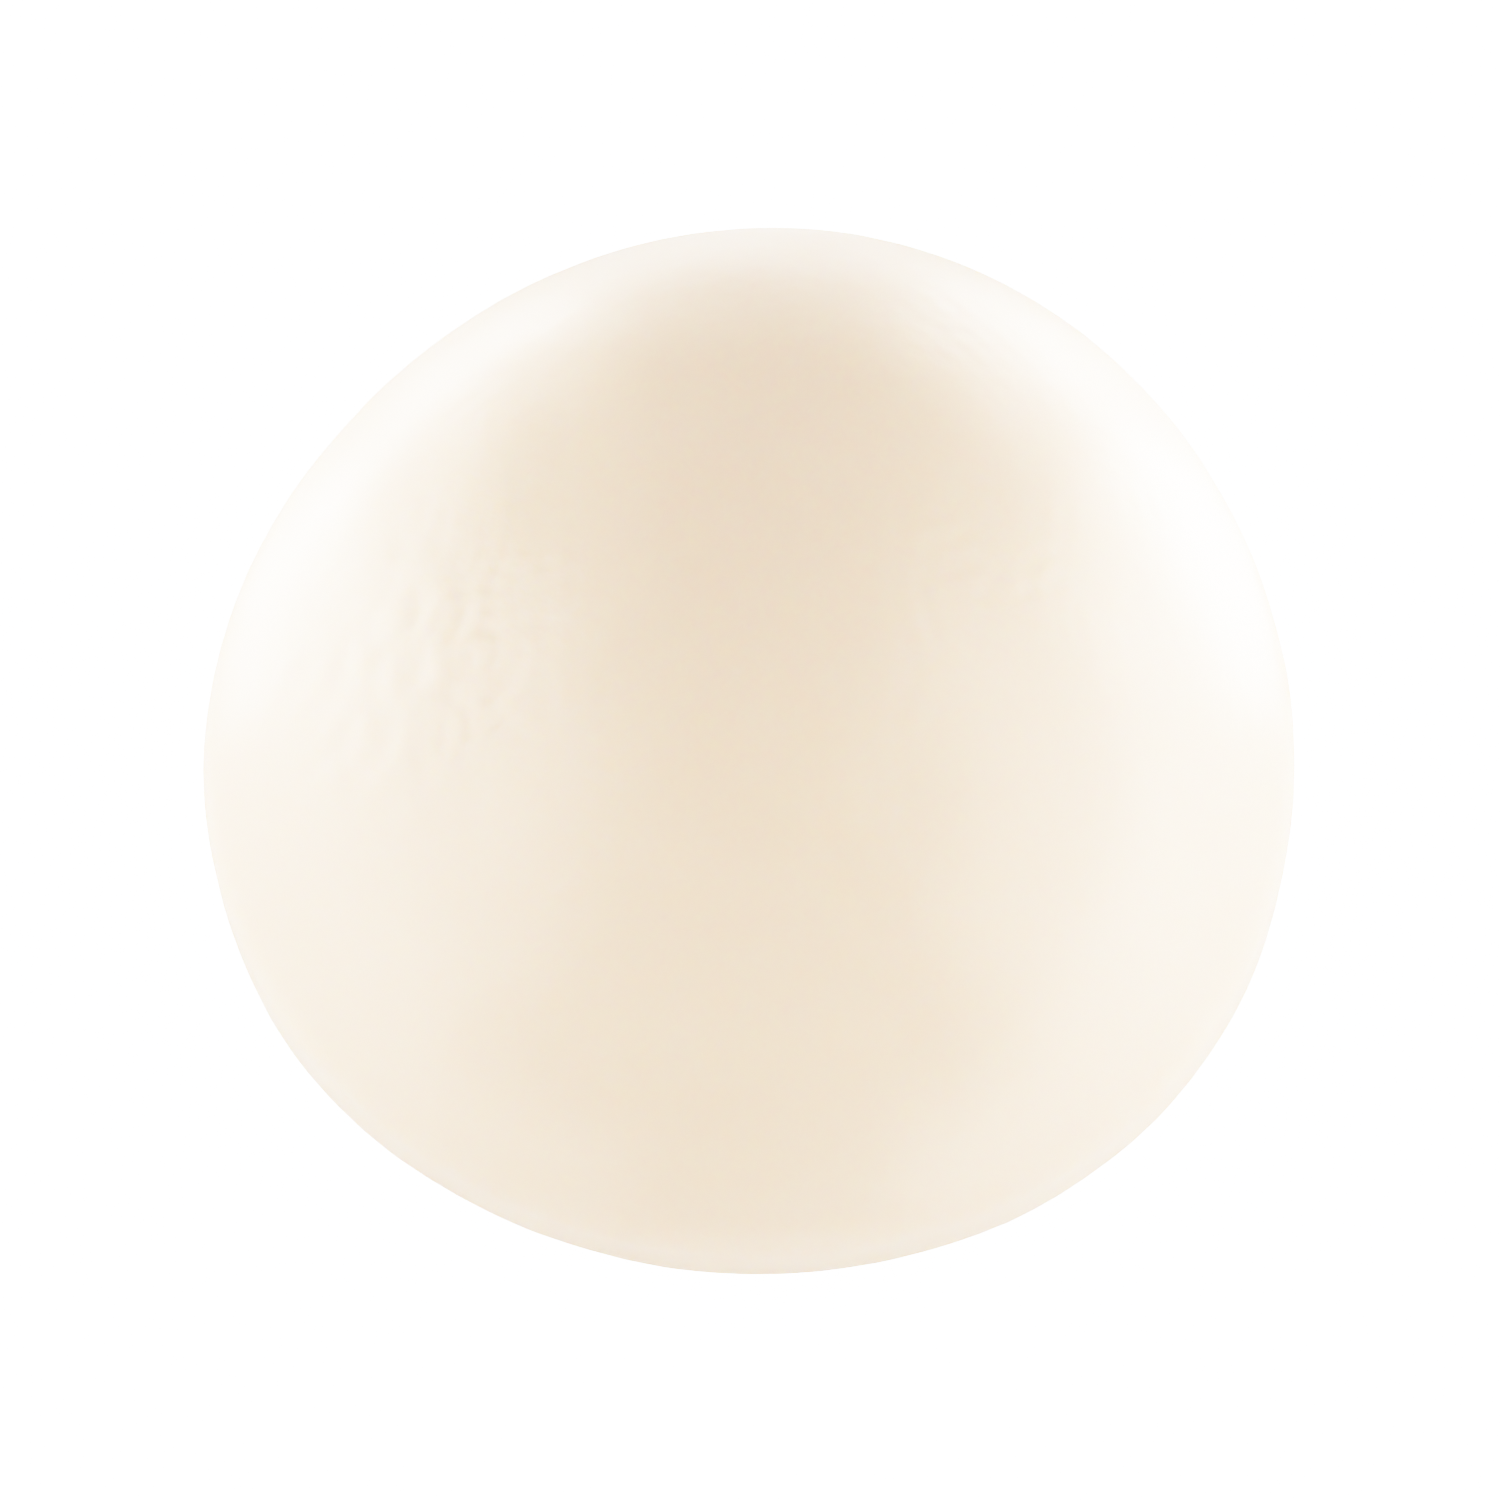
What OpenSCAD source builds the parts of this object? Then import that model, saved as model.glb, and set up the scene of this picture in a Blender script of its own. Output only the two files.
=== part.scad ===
// Shaving soap puck: one bar of hard soap, pressed in a round die.
// It stands on its flat base with the crowned lathering face up.
// All sizes are in millimetres. The origin is the middle of the base, and +Z is up.

/* [Puck] */
// Outside diameter across the side wall
puck_d = 74; // [62:1:90]
// Height from the flat base to the top of the crown
puck_h = 28; // [24:0.5:33]

/* [Side] */
// Height above the base at which the upright side wall ends
side_h = 7; // [3.5:0.5:9]
// Radius of the shoulder that turns the side wall into the crown
shoulder_r = 5; // [2:0.5:8]

/* [Base] */
// Radius of the rounded edge around the base
base_edge_r = 3; // [1:0.5:3]

/* [Hidden] */
$fn = 180;

puck_r = puck_d / 2;

// Distance from the axis to the centre of the shoulder's arc
shoulder_x = puck_r - shoulder_r;
// Rise of the crown's top above the side wall
crown_rise = puck_h - side_h;
// Radius of the ball that the crown is cut from. The ball passes through the crown's top
// and runs into the shoulder's arc without a crease.
crown_r = (shoulder_x * shoulder_x + crown_rise * crown_rise - shoulder_r * shoulder_r)
    / (2 * (crown_rise - shoulder_r));
// Height of that ball's centre, which is below the base on a shallow crown
crown_z = puck_h - crown_r;
// Distance from the axis at which the crown hands over to the shoulder
blend_x = shoulder_x * crown_r / (crown_r - shoulder_r);

// Disc cut along its level diameter, keeping the upper or the lower half
module half_disc(radius, upper) {
    intersection() {
        circle(radius);
        translate([-radius, upper ? 0 : -radius]) square([2 * radius, radius]);
    }
}

// Crown: the cap of the ball, out to where the shoulder takes over
module crown_section() {
    intersection() {
        translate([0, crown_z]) circle(crown_r);
        translate([0, side_h]) square([blend_x, crown_rise]);
    }
}

// Shoulder, upright side wall and rounded base edge, round a solid middle
module side_section() {
    translate([shoulder_x, side_h]) half_disc(shoulder_r, upper = true);
    translate([0, base_edge_r]) square([puck_r, side_h - base_edge_r]);
    translate([puck_r - base_edge_r, base_edge_r]) half_disc(base_edge_r, upper = false);
    square([puck_r - base_edge_r, side_h]);
}

// The bar of soap: one solid turned from its radial section
module soap_puck() {
    color([0.94, 0.89, 0.80])
        rotate_extrude() {
            crown_section();
            side_section();
        }
}

soap_puck();
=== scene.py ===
"""A shaving soap puck: one bar of hard, cream-coloured soap, resting on its flat base."""

import math

import bpy
import numpy as np
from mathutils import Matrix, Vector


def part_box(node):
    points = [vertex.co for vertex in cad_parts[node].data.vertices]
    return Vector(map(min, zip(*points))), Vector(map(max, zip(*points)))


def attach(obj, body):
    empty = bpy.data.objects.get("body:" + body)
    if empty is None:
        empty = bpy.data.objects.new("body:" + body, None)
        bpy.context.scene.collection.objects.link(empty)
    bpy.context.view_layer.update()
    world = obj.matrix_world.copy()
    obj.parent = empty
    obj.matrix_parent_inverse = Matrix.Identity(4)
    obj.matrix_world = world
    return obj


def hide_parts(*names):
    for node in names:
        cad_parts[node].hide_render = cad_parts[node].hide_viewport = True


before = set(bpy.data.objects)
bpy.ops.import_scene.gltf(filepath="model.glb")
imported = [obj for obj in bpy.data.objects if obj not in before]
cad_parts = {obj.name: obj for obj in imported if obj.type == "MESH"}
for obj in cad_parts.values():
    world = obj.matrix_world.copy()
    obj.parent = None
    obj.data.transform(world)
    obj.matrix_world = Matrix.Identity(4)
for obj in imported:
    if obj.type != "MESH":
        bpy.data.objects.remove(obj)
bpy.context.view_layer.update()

# ---------------------------------------------------------------------------------------------
# Soap bar. Hard soap, milled, then pressed in a round die: a domed lathering face, a soft
# shoulder, a short side wall and a flat base. It gives a little as it leaves the die and cures,
# so its outline is not a true circle and its skin is gently uneven.

soap_low, soap_high = (np.array(corner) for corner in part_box("soap_puck"))
radius = (soap_high[0] - soap_low[0]) / 2
height = soap_high[2] - soap_low[2]
side_height = 0.007
shoulder_radius = 0.005
base_edge_radius = 0.003
spokes = 448
base_rings = 18
edge_rings = 10
side_rings = 6
shoulder_rings = 9
crown_rings = 160


def straight(start, end, facing, steps):
    """A straight stretch of the section: even steps from start to end, all facing one way."""
    along = np.linspace(0, 1, steps)[:, None]
    return start + along * (end - start), np.tile(facing, (steps, 1))


def arc(centre, bend, start, end, steps):
    """A round stretch of the section: centre plus bend times (cosine, sine) of an angle that runs
    from start to end in degrees, counted up from level. Each point faces away from centre."""
    turn = np.radians(np.linspace(start, end, steps))
    facing = np.stack([np.cos(turn), np.sin(turn)], 1)
    return centre + bend * facing, facing


def section():
    """Half of the bar's upright section, as (distance from the axis, height): flat base, rounded
    edge, side wall, shoulder, and the cap of a ball that meets the shoulder without a crease.
    The ball's radius b solves b = distance to the shoulder's centre + shoulder radius."""
    shoulder_at = np.array([radius - shoulder_radius, side_height])
    rise = height - side_height
    ball = (shoulder_at[0] ** 2 + rise**2 - shoulder_radius**2) / (2 * (rise - shoulder_radius))
    ball_at = np.array([0, height - ball])
    meet = math.degrees(math.atan2(side_height - ball_at[1], shoulder_at[0]))
    edge_at = np.array([radius - base_edge_radius, base_edge_radius])
    side_foot = np.array([radius, base_edge_radius])
    side_top = np.array([radius, side_height])
    stretches = [
        straight(np.zeros(2), np.array([edge_at[0], 0]), (0, -1), base_rings),
        arc(edge_at, base_edge_radius, -90, 0, edge_rings),
        straight(side_foot, side_top, (1, 0), side_rings),
        arc(shoulder_at, shoulder_radius, 0, meet, shoulder_rings),
        arc(ball_at, ball, meet, 90, crown_rings),
    ]
    points = np.concatenate([stretch[0][1:] for stretch in stretches])
    facings = np.concatenate([stretch[1][1:] for stretch in stretches])
    return points[:-1], facings[:-1]


def turned(pairs, bottom, top):
    """Turns (out, up) pairs round the upright axis into (out cosine, out sine, up), one row for
    each ring, and adds the two points on the axis last."""
    turn = np.linspace(0, 2 * math.pi, spokes, endpoint=False)
    out, up = pairs[:, :1], pairs[:, 1:]
    grid = np.stack([out * np.cos(turn), out * np.sin(turn), up + 0 * turn], 2)
    return np.concatenate([grid.reshape(-1, 3), [(0, 0, bottom), (0, 0, top)]])


def skin_faces(rings):
    """Four-sided faces between each ring and the next, and a fan of triangles at both ends."""
    spoke = np.arange(spokes)
    beside = (spoke + 1) % spokes
    ring = np.arange(rings - 1)[:, None] * spokes
    corners = [ring + spoke, ring + beside, ring + beside + spokes, ring + spoke + spokes]
    under = np.stack([np.full(spokes, rings * spokes), beside, spoke], 1)
    last = (rings - 1) * spokes
    over = np.stack([np.full(spokes, rings * spokes + 1), last + spoke, last + beside], 1)
    return np.stack(corners, 2).reshape(-1, 4).tolist() + under.tolist() + over.tolist()


def out_of_round(points):
    """Swells the outline by a cosine of twice the angle round it, which makes it oval, and by one
    of three times the angle, which makes it slightly three-sided."""
    angle = np.arctan2(points[:, 1], points[:, 0])
    oval = 0.0063 * np.cos(2 * (angle - math.radians(30.3)))
    three_sided = 0.0156 * np.cos(3 * (angle - math.radians(77.2)))
    swell = 1 + oval + three_sided
    return points * np.stack([swell, swell, np.ones_like(swell)], 1)


def uneven(points, wavelength, seed):
    """Soft random unevenness that swings about 1 either way of zero: sixty cosine waves of one
    wavelength, each along its own random direction, summed and divided by the square root of half
    their number."""
    waves = 60
    chance = np.random.default_rng(seed)
    along = chance.normal(size=(waves, 3))
    along /= np.linalg.norm(along, axis=1, keepdims=True)
    start = chance.uniform(0, 2 * math.pi, waves)
    turns = points @ along.T * (2 * math.pi / wavelength) + start
    return np.cos(turns).sum(1) / math.sqrt(waves / 2)


def patch(points, x, y, reach):
    """Marks a patch of the crown: 1 at (x, y), fading as a bell curve that is reach wide."""
    return np.exp(-((points[:, 0] - x) ** 2 + (points[:, 1] - y) ** 2) / (2 * reach**2))


def groove(points, start, end, width):
    """Marks a line on the crown from start to end: 1 on it, fading as a bell curve beside it."""
    flat = points[:, :2]
    line = np.array(end) - start
    along = np.clip((flat - start) @ line / (line @ line), 0, 1)[:, None]
    beside = np.linalg.norm(flat - (start + along * line), axis=1)
    return np.exp(-(beside**2) / (2 * width**2))


def relief(points, facings):
    """How far each point of the skin stands proud of the die's shape, in metres. Broad slumps and
    a faint orange peel cover the whole bar. On both sides of the crown the skin is pocked where it
    clung to the die, with lumps and a soft crease on the left. The base is hollowed by a hair."""
    slump = 0.00006 * uneven(points, 0.026, 11) + 0.00002 * uneven(points, 0.009, 12)
    peel = 0.000006 * uneven(points, 0.0018, 13)
    clung = patch(points, -0.0175, 0.003, 0.0029) + patch(points, -0.0175, -0.0055, 0.0029)
    clung += 0.4 * patch(points, 0.0165, 0.002, 0.004)
    pocks = -0.000026 * clung * np.clip(uneven(points, 0.0015, 14) + 0.5, 0, 3)
    lumps = 0.00003 * patch(points, -0.0235, -0.001, 0.006) * uneven(points, 0.003, 15)
    crease = -0.00003 * groove(points, (-0.0236, 0.0094), (-0.0252, 0.0037), 0.0005)
    base = np.clip(-facings[:, 2], 0, 1) ** 8
    hollow = 1 - (np.hypot(points[:, 0], points[:, 1]) / radius) ** 2
    under = -0.00012 * hollow - 0.000012 * (1 + uneven(points, 0.005, 16))
    return (1 - base) * (slump + peel + pocks + lumps + crease) + base * under


def fitted(points):
    """Stretches and shifts the bar by the last hair, so that it fills the box of its die."""
    low, high = points.min(0), points.max(0)
    return soap_low + (points - low) * (soap_high - soap_low) / (high - low)


ring_points, ring_facings = section()
skin = turned(ring_points, 0, height)
facings = turned(ring_facings, -1, 1)
skin = fitted(out_of_round(skin) + facings * relief(skin, facings)[:, None])

soap_mesh = bpy.data.meshes.new("shaving_soap")
soap_mesh.from_pydata(skin.tolist(), [], skin_faces(len(ring_points)))
soap_mesh.polygons.foreach_set("use_smooth", np.ones(len(soap_mesh.polygons), bool))
soap_mesh.update()
soap = bpy.data.objects.new("shaving_soap", soap_mesh)
bpy.context.scene.collection.objects.link(soap)


def ivory_soap():
    """Cream, slightly waxy and see-through soap: faint marbling from the mill, a satin skin that
    is duller in places, and a grain finer than the mesh."""
    material = bpy.data.materials.new("ivory_soap")
    material.use_nodes = True
    nodes, links = material.node_tree.nodes, material.node_tree.links
    shader = nodes["Principled BSDF"]
    shader.inputs["IOR"].default_value = 1.46
    shader.inputs["Subsurface Weight"].default_value = 1.0
    shader.inputs["Subsurface Radius"].default_value = (1.0, 0.65, 0.4)
    shader.inputs["Subsurface Scale"].default_value = 0.0012
    place = nodes.new("ShaderNodeTexCoord").outputs["Object"]

    def grain(per_metre, detail, distortion=0.0):
        """Noise in the bar's own coordinates, with this many lumps to the metre."""
        noise = nodes.new("ShaderNodeTexNoise")
        noise.inputs["Scale"].default_value = per_metre
        noise.inputs["Detail"].default_value = detail
        noise.inputs["Distortion"].default_value = distortion
        links.new(place, noise.inputs["Vector"])
        return noise.outputs["Fac"]

    marbling = nodes.new("ShaderNodeValToRGB")
    marbling.color_ramp.elements[0].position = 0.35
    marbling.color_ramp.elements[0].color = (0.836, 0.693, 0.568, 1)
    marbling.color_ramp.elements[1].position = 0.65
    marbling.color_ramp.elements[1].color = (0.844, 0.703, 0.578, 1)
    links.new(grain(70, 4, 1.2), marbling.inputs["Fac"])
    links.new(marbling.outputs["Color"], shader.inputs["Base Color"])

    dullness = nodes.new("ShaderNodeMapRange")
    dullness.inputs["From Min"].default_value = 0.3
    dullness.inputs["From Max"].default_value = 0.7
    dullness.inputs["To Min"].default_value = 0.32
    dullness.inputs["To Max"].default_value = 0.38
    links.new(grain(260, 3), dullness.inputs["Value"])
    links.new(dullness.outputs["Result"], shader.inputs["Roughness"])

    bump = nodes.new("ShaderNodeBump")
    bump.inputs["Strength"].default_value = 1.0
    bump.inputs["Distance"].default_value = 0.000008
    links.new(grain(2200, 3), bump.inputs["Height"])
    links.new(bump.outputs["Normal"], shader.inputs["Normal"])
    return material


soap_mesh.materials.append(ivory_soap())
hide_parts("soap_puck")
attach(soap, "root")

# ---------------------------------------------------------------------------------------------
# Table. A wide sheet of plain white acrylic. It looks lit from below, as a light table does, but
# only to the lens: to the soap it is a plain matt sheet.

table_reach = 3.0
table_mesh = bpy.data.meshes.new("table")
corners = [(-table_reach, -table_reach), (table_reach, -table_reach)]
corners += [(table_reach, table_reach), (-table_reach, table_reach)]
table_mesh.from_pydata([(x, y, soap_low[2]) for x, y in corners], [], [(0, 1, 2, 3)])
table = bpy.data.objects.new("floor", table_mesh)
bpy.context.scene.collection.objects.link(table)


def white_acrylic():
    """Plain matt white, with a glow of its own that only the lens sees."""
    material = bpy.data.materials.new("white_acrylic")
    material.use_nodes = True
    nodes, links = material.node_tree.nodes, material.node_tree.links
    shader = nodes["Principled BSDF"]
    shader.inputs["Base Color"].default_value = (0.9, 0.9, 0.9, 1)
    shader.inputs["Roughness"].default_value = 0.9
    shader.inputs["Emission Color"].default_value = (1, 1, 1, 1)
    glow_to_lens = 1.8
    glow = nodes.new("ShaderNodeMath")
    glow.operation = "MULTIPLY"
    glow.inputs[1].default_value = glow_to_lens
    links.new(nodes.new("ShaderNodeLightPath").outputs["Is Camera Ray"], glow.inputs[0])
    links.new(glow.outputs["Value"], shader.inputs["Emission Strength"])
    return material


table_mesh.materials.append(white_acrylic())

# ---------------------------------------------------------------------------------------------
# Studio light. A wide soft box on each side, low panels round both sides, a faint fill in front,
# patches of light on the table beside and behind the soap, and nothing overhead, so the middle of
# the crown stays the darkest.

glow_height = 0.001


def soft_light(name, azimuth, elevation, distance, width, tall, radiance):
    """A flat soft light that faces the soap. Azimuth turns from the front (0) to the right (90).
    Its power is pi times its area times its radiance, and its area is width times tall."""
    lamp = bpy.data.lights.new(name, "AREA")
    lamp.shape = "RECTANGLE"
    lamp.size = width
    lamp.size_y = tall
    lamp.energy = math.pi * width * tall * radiance
    light = bpy.data.objects.new(name, lamp)
    bpy.context.scene.collection.objects.link(light)
    turn, tilt = math.radians(azimuth), math.radians(elevation)
    level = math.cos(tilt)
    light.location = (distance * math.sin(turn) * level, -distance * math.cos(turn) * level, 0)
    light.location.z = distance * math.sin(tilt)
    light.rotation_euler = (math.pi / 2 - tilt, 0, turn)
    light.visible_camera = False


soft_light("left_box", 270, 36, 0.5, 0.70, 0.50, 2.95)
soft_light("right_box", 90, 36, 0.5, 0.70, 0.50, 2.55)
soft_light("left_back_panel", 242, 8, 0.5, 0.28, 0.16, 3.9)
soft_light("right_back_panel", 118, 8, 0.5, 0.28, 0.16, 3.9)
soft_light("left_low_panel", 280, 8, 0.5, 0.38, 0.16, 1.7)
soft_light("right_low_panel", 80, 8, 0.5, 0.38, 0.16, 3.9)
soft_light("left_front_panel", 322, 8, 0.5, 0.36, 0.16, 2.4)
soft_light("right_front_panel", 38, 8, 0.5, 0.36, 0.16, 3.9)
soft_light("front_fill", 0, 42, 0.5, 0.40, 0.35, 0.15)


def table_glow(name, azimuth, distance, width, deep, radiance):
    """A lamp under the acrylic: an oval patch of light that lies on the table and faces up. Its
    power is pi times its area times its radiance, and its area is width times deep times pi/4."""
    lamp = bpy.data.lights.new(name, "AREA")
    lamp.shape = "ELLIPSE"
    lamp.size = width
    lamp.size_y = deep
    lamp.energy = math.pi * width * deep * math.pi / 4 * radiance
    light = bpy.data.objects.new(name, lamp)
    bpy.context.scene.collection.objects.link(light)
    turn = math.radians(azimuth)
    light.location = (distance * math.sin(turn), -distance * math.cos(turn), glow_height)
    light.rotation_euler = (math.pi, 0, turn)
    light.visible_camera = False


table_glow("left_glow", 242, 0.085, 0.05, 0.06, 7.5)
table_glow("right_glow", 118, 0.085, 0.05, 0.06, 12.0)
table_glow("left_back_glow", 214, 0.085, 0.05, 0.06, 4.6)
table_glow("right_back_glow", 146, 0.085, 0.05, 0.06, 4.8)
table_glow("back_glow", 180, 0.065, 0.07, 0.04, 1.2)

# Backdrop. White to the lens, and almost dark to the soap.
backdrop_to_lens = 2.5
backdrop_to_soap = 0.03
world = bpy.data.worlds.new("studio")
world.use_nodes = True
world_nodes, world_links = world.node_tree.nodes, world.node_tree.links
backdrop = world_nodes.new("ShaderNodeMath")
backdrop.operation = "MULTIPLY_ADD"
backdrop.inputs[1].default_value = backdrop_to_lens
backdrop.inputs[2].default_value = backdrop_to_soap
world_links.new(world_nodes.new("ShaderNodeLightPath").outputs["Is Camera Ray"], backdrop.inputs[0])
world_links.new(backdrop.outputs["Value"], world_nodes["Background"].inputs["Strength"])
world_nodes["Background"].inputs["Color"].default_value = (1, 1, 1, 1)
bpy.context.scene.world = world

# Film. Plain colours with a long soft shoulder, as print film has: past the knee the picture
# nears white by the exponential of how far the light is past it.
knee = 0.65
brightest = 2.5
film_steps = 8
view = bpy.context.scene.view_settings
view.view_transform = "Standard"
view.use_curve_mapping = True
view.curve_mapping.white_level = (brightest, brightest, brightest)
combined = 3
film = view.curve_mapping.curves[combined]
film.points.new(knee / 2 / brightest, knee / 2)
for light in np.linspace(0, math.sqrt(brightest - knee), film_steps)[:-1] ** 2 + knee:
    film.points.new(light / brightest, 1 - (1 - knee) * math.exp((knee - light) / (1 - knee)))
view.curve_mapping.update()

# ---------------------------------------------------------------------------------------------
# Camera. A long lens high in front of the soap.

camera_elevation = math.radians(70)
camera_distance = 13 * radius
camera_data = bpy.data.cameras.new("camera")
camera_data.lens = 171.5
camera = bpy.data.objects.new("camera", camera_data)
bpy.context.scene.collection.objects.link(camera)
aim = np.array([0.0018, -0.0678, 0.2799]) * radius
towards = np.array([0, -math.cos(camera_elevation), math.sin(camera_elevation)])
camera.location = aim + camera_distance * towards
camera.rotation_euler = (math.pi / 2 - camera_elevation, 0, 0)
bpy.context.scene.camera = camera
